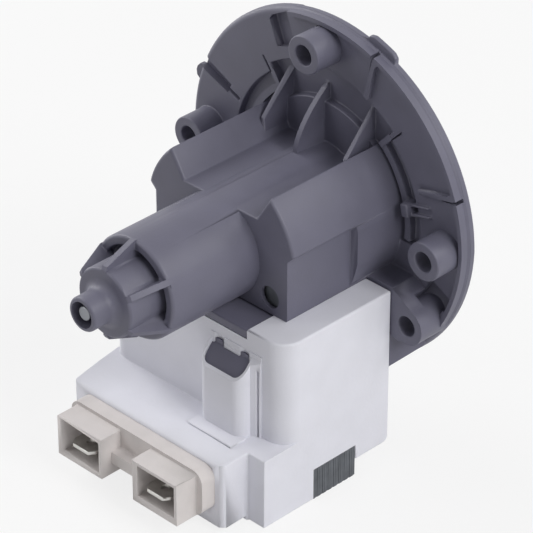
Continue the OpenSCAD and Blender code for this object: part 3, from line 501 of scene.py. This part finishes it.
def finish_piece(name, bm, body, material, replaced=(), width=0.0, segments=2):
    """Makes an object from a bmesh, with its rounds, finish and body, and the nodes it stands for."""
    numbers = bm.edges.layers.int.get("run")
    for edge in bm.edges:
        edge.smooth = not is_sharp(edge) or bool(numbers and edge[numbers])
    for face in bm.faces:
        face.smooth = True
    mesh = bpy.data.meshes.new(name)
    bm.to_mesh(mesh)
    bm.free()
    piece = bpy.data.objects.new(name, mesh)
    bpy.context.scene.collection.objects.link(piece)
    if width:
        rounds = piece.modifiers.new("edge_rounds", "BEVEL")
        rounds.limit_method = "WEIGHT"
        rounds.offset_type = "OFFSET"
        rounds.width = width
        rounds.segments = segments
        rounds.profile = 0.5
        rounds.use_clamp_overlap = False
        rounds.material = -1
        settle_rounds(piece, width)
    normals = piece.modifiers.new("flat_faces_lead", "WEIGHTED_NORMAL")
    normals.keep_sharp = True
    dress(piece, material)
    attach(piece, body)
    if replaced:
        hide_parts(*replaced)
    return piece


def rounded_copy(name, node, body, material, usual, widths=(), segments=2):
    """A copy of a node with rounded edges, which stands for it."""
    bm = merged_copy(node)
    widest = weigh_edges(bm, widths, usual)
    return finish_piece(name, bm, body, material, [node], widest, segments)


class PUMP_OT_stage(bpy.types.Operator):
    """Add the floor, the lights and the camera"""

    bl_idname = "pump.stage"
    bl_label = "Stage"

    def execute(self, context):
        scene = context.scene
        scene.view_settings.view_transform = "Standard"
        self.camera(scene)
        self.floor(scene)
        self.world(scene)
        for name, (azimuth, elevation, power) in SOFTBOXES.items():
            self.lamp(scene, name, azimuth, elevation, power)
        return {"FINISHED"}

    def camera(self, scene):
        data = bpy.data.cameras.new("photo_camera")
        data.sensor_width = CAMERA_SENSOR
        data.lens = CAMERA_LENS
        data.clip_start = 0.05
        data.clip_end = 20.0
        camera = bpy.data.objects.new("photo_camera", data)
        scene.collection.objects.link(camera)
        flat = math.cos(CAMERA_ELEVATION)
        back = Vector(
            (math.sin(CAMERA_AZIMUTH) * flat, -math.cos(CAMERA_AZIMUTH) * flat, math.sin(CAMERA_ELEVATION))
        )
        camera.location = CAMERA_EYE
        camera.rotation_mode = "QUATERNION"
        camera.rotation_quaternion = (-back).to_track_quat("-Z", "Y")
        scene.camera = camera

    def floor(self, scene):
        bm = bmesh.new()
        bmesh.ops.create_grid(bm, x_segments=1, y_segments=1, size=1.5)
        bmesh.ops.translate(bm, verts=bm.verts, vec=(0, 0, CAD_BOX[0].z - 0.02 * MM))
        mesh = bpy.data.meshes.new("studio_floor")
        bm.to_mesh(mesh)
        bm.free()
        floor = bpy.data.objects.new("studio_floor", mesh)
        scene.collection.objects.link(floor)
        dress(floor, self.floor_material())

    def floor_material(self):
        """Matt white paper, shown to the camera and in reflections as nearly pure white."""
        material, tree, shader, place = new_material("matt_white_paper", {"Roughness": 0.9})
        cloud = noise(tree, place, 40 * MM)
        tree.links.new(mottle(tree, cloud, linear("#e6e6e6"), 0.01), shader.inputs["Base Color"])
        glow = add(tree, "ShaderNodeEmission", values={"Color": (1, 1, 1, 1), "Strength": 1.0})
        share = add(tree, "ShaderNodeMath", {"operation": "MULTIPLY"}, {1: 0.8}, {0: seen_directly(tree)})
        links = {0: share.outputs[0], 1: shader.outputs[0], 2: glow.outputs[0]}
        mixed = add(tree, "ShaderNodeMixShader", links=links)
        tree.links.new(mixed.outputs[0], tree.nodes["Material Output"].inputs["Surface"])
        return material

    def world(self, scene):
        world = bpy.data.worlds.new("studio")
        scene.world = world
        world.use_nodes = True
        tree = world.node_tree
        tree.nodes.clear()
        light = add(tree, "ShaderNodeBackground", values={"Color": (1, 1, 1, 1), "Strength": 0.2})
        white = add(tree, "ShaderNodeBackground", values={"Color": (1, 1, 1, 1), "Strength": 1.0})
        links = {0: seen_directly(tree), 1: light.outputs[0], 2: white.outputs[0]}
        mixed = add(tree, "ShaderNodeMixShader", links=links)
        add(tree, "ShaderNodeOutputWorld", links={"Surface": mixed.outputs[0]})

    def lamp(self, scene, name, azimuth, elevation, power):
        data = bpy.data.lights.new(name, "AREA")
        data.shape = "SQUARE"
        data.size = SOFTBOX_SIZE
        data.energy = power
        lamp = bpy.data.objects.new(name, data)
        scene.collection.objects.link(lamp)
        turn, rise = math.radians(azimuth), math.radians(elevation)
        out = Vector((math.sin(turn) * math.cos(rise), -math.cos(turn) * math.cos(rise), math.sin(rise)))
        lamp.location = out
        lamp.rotation_euler = (-out).to_track_quat("-Z", "Y").to_euler()


def seen_directly(tree):
    """1 for rays from the camera and for mirrored or passed rays, else 0."""
    path = add(tree, "ShaderNodeLightPath").outputs
    first = {0: path["Is Camera Ray"], 1: path["Is Glossy Ray"]}
    both = add(tree, "ShaderNodeMath", {"operation": "MAXIMUM"}, links=first).outputs[0]
    second = {0: both, 1: path["Is Transmission Ray"]}
    return add(tree, "ShaderNodeMath", {"operation": "MAXIMUM"}, links=second).outputs[0]


class PUMP_OT_housing(bpy.types.Operator):
    """Round and finish the motor housing"""

    bl_idname = "pump.housing"
    bl_label = "Motor housing"

    # Planes of the housing's rear faces, the middle of the openings in them, and the two radii
    # round the tube and round such a middle inside which an edge keeps the usual round
    WING_REAR = -31.2 * MM
    STEP_REAR = -14.1 * MM
    OPENING = Vector((13.25, 0, -6.2)) * MM
    TUBE_REACH = 11.2 * MM
    OPENING_REACH = 3 * MM

    def execute(self, context):
        sizes = context.scene.pump_sizes
        finish = housing_plastic(context.scene.pump_colours.housing)
        widths = [(sizes.wing_round, self.on_wing), (sizes.step_round, self.on_step)]
        rounded_copy(
            "housing_shell", "motor_housing", BODY, finish, sizes.housing_round, widths
        )
        tongue = sizes.small_round
        rounded_copy("lock_tongue", "latch_tongue", BODY, finish, tongue)
        return {"FINISHED"}

    def on_wing(self, edge):
        middle = (edge.verts[0].co + edge.verts[1].co) / 2
        aside = math.hypot(abs(middle.x) - self.OPENING.x, middle.z - self.OPENING.z)
        clear = math.hypot(middle.x, middle.z) > self.TUBE_REACH and aside > self.OPENING_REACH
        return on_plane(edge, 1, self.WING_REAR) and edge.is_convex and clear

    def on_step(self, edge):
        return on_plane(edge, 1, self.STEP_REAR) and edge.is_convex


class PUMP_OT_coil_block(bpy.types.Operator):
    """Round and finish the coil block, and stack the sheets of its yoke"""

    bl_idname = "pump.coil_block"
    bl_label = "Coil block"

    # Height of the block's top, and how far out and forward its front corners and top edges start
    TOP = -9.9 * MM
    TOP_FROM = 16 * MM
    CORNER_FROM = (24.4 * MM, -9.1 * MM)

    def execute(self, context):
        sizes = context.scene.pump_sizes
        finish = block_plastic(context.scene.pump_colours.block)
        widths = [(sizes.block_top_round, self.on_top), (sizes.block_top_round, self.on_front_corner)]
        rounded_copy(
            "coil_moulding", "coil_block", BODY, finish, sizes.block_round, widths, 3
        )
        self.yoke(sizes.sheet_thickness)
        return {"FINISHED"}

    def on_top(self, edge):
        middle = (edge.verts[0].co + edge.verts[1].co) / 2
        return on_plane(edge, 2, self.TOP) and abs(middle.x) > self.TOP_FROM

    def on_front_corner(self, edge):
        out, forward = self.CORNER_FROM
        return all(abs(v.co.x) > out and v.co.y > forward for v in edge.verts)

    def yoke(self, thickness):
        """Thin sheets side by side, with a hair's breadth of varnish between them."""
        low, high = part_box("stator_yoke")
        depth = high.y - low.y
        count = round(depth / thickness)
        bm = bmesh.new()
        for i in range(count):
            sheet = bmesh.ops.create_cube(bm, size=1.0)["verts"]
            drawn_in = 0.05 * MM if i % 3 == 1 else 0.0
            size = (high.x - low.x - 2 * drawn_in, 0.93 * depth / count, high.z - low.z - drawn_in)
            middle = (low + high) / 2
            middle.y = low.y + (i + 0.5) * depth / count
            middle.z = low.z + drawn_in + size[2] / 2
            place = Matrix.Translation(middle) @ Matrix.Diagonal(size + (1,))
            bmesh.ops.transform(bm, verts=sheet, matrix=place)
        bmesh.ops.bevel(
            bm, geom=bm.edges[:], offset=0.04 * MM, segments=1, profile=0.5, affect="EDGES", material=-1
        )
        finish_piece("yoke_sheets", bm, BODY, sheet_steel(), ["stator_yoke"])


class PUMP_OT_terminals(bpy.types.Operator):
    """Round and finish the terminal plate and its blades"""

    bl_idname = "pump.terminals"
    bl_label = "Terminals"

    # Plane of the terminal plate's outer face
    PLATE_FRONT = -54.0 * MM

    def execute(self, context):
        sizes = context.scene.pump_sizes
        finish = terminal_plastic(context.scene.pump_colours.terminal)
        rounded_copy(
            "terminal_moulding", "terminal_plate", BODY, finish,
            sizes.terminal_round, [(sizes.plate_round, self.on_plate_front)], 3,
        )
        tin = tinned_brass()
        for side in ("left", "right"):
            node = "spade_terminal_" + side
            rounded_copy("blade_" + side, node, BODY, tin, sizes.blade_round)
        return {"FINISHED"}

    def on_plate_front(self, edge):
        return on_plane(edge, 1, self.PLATE_FRONT) and edge.is_convex


class PUMP_OT_inner_pieces(bpy.types.Operator):
    """Finish the pieces that keep their own shape"""

    bl_idname = "pump.inner_pieces"
    bl_label = "Inner pieces"

    def execute(self, context):
        for kind, names in NODE_FINISHES.items():
            material = node_material(kind)
            for name in names:
                dress(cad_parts[name], material)
        return {"FINISHED"}


class PUMP_OT_rotating_pieces(bpy.types.Operator):
    """Round and finish the bearing cap, the shaft, the impeller and the seals"""

    bl_idname = "pump.rotating_pieces"
    bl_label = "Cap, shaft, impeller and seals"

    def execute(self, context):
        sizes = context.scene.pump_sizes
        small, least = sizes.small_round, sizes.seal_round
        pale = plain_moulding("polypropylene_cap", "#c4c4bf", (0.4, 0.52))
        white = plain_moulding("polyacetal_impeller", "#e8e6e0", (0.35, 0.5))
        black = rubber()
        rounded_copy("cap_disc", "bearing_cap", BODY, pale, small)
        rounded_copy("shaft_lip_seal", "cap_seal", BODY, black, least)
        rounded_copy("flange_ring_seal", "flange_seal", BODY, black, least)
        rounded_copy("vane_wheel", "impeller", "impeller", white, small)
        rounded_copy("vane_wheel_cap", "impeller_cap", "impeller", white, small)
        rounded_copy("ground_shaft", "rotor_shaft", "rotor", ground_steel(), least)
        return {"FINISHED"}


class PUMP_PT_dressing(bpy.types.Panel):
    """Lists the pump's dressing steps"""

    bl_label = "Drain Pump"
    bl_idname = "PUMP_PT_dressing"
    bl_space_type = "VIEW_3D"
    bl_region_type = "UI"
    bl_category = "Drain Pump"

    def draw(self, context):
        for group in (context.scene.pump_sizes, context.scene.pump_colours):
            for name in group.__annotations__:
                self.layout.prop(group, name)
        for operator in OPERATORS:
            self.layout.operator(operator.bl_idname)


OPERATORS = (
    PUMP_OT_stage,
    PUMP_OT_housing,
    PUMP_OT_coil_block,
    PUMP_OT_terminals,
    PUMP_OT_inner_pieces,
    PUMP_OT_rotating_pieces,
)
CLASSES = (PumpSizes, PumpColours) + OPERATORS + (PUMP_PT_dressing,)


def register():
    for cls in CLASSES:
        bpy.utils.register_class(cls)
    bpy.types.Scene.pump_sizes = bpy.props.PointerProperty(type=PumpSizes)
    bpy.types.Scene.pump_colours = bpy.props.PointerProperty(type=PumpColours)


def unregister():
    del bpy.types.Scene.pump_colours
    del bpy.types.Scene.pump_sizes
    for cls in reversed(CLASSES):
        bpy.utils.unregister_class(cls)


def main():
    register()
    bpy.ops.pump.stage()
    bpy.ops.pump.housing()
    bpy.ops.pump.coil_block()
    bpy.ops.pump.terminals()
    bpy.ops.pump.inner_pieces()
    bpy.ops.pump.rotating_pieces()


if __name__ == "__main__":
    main()
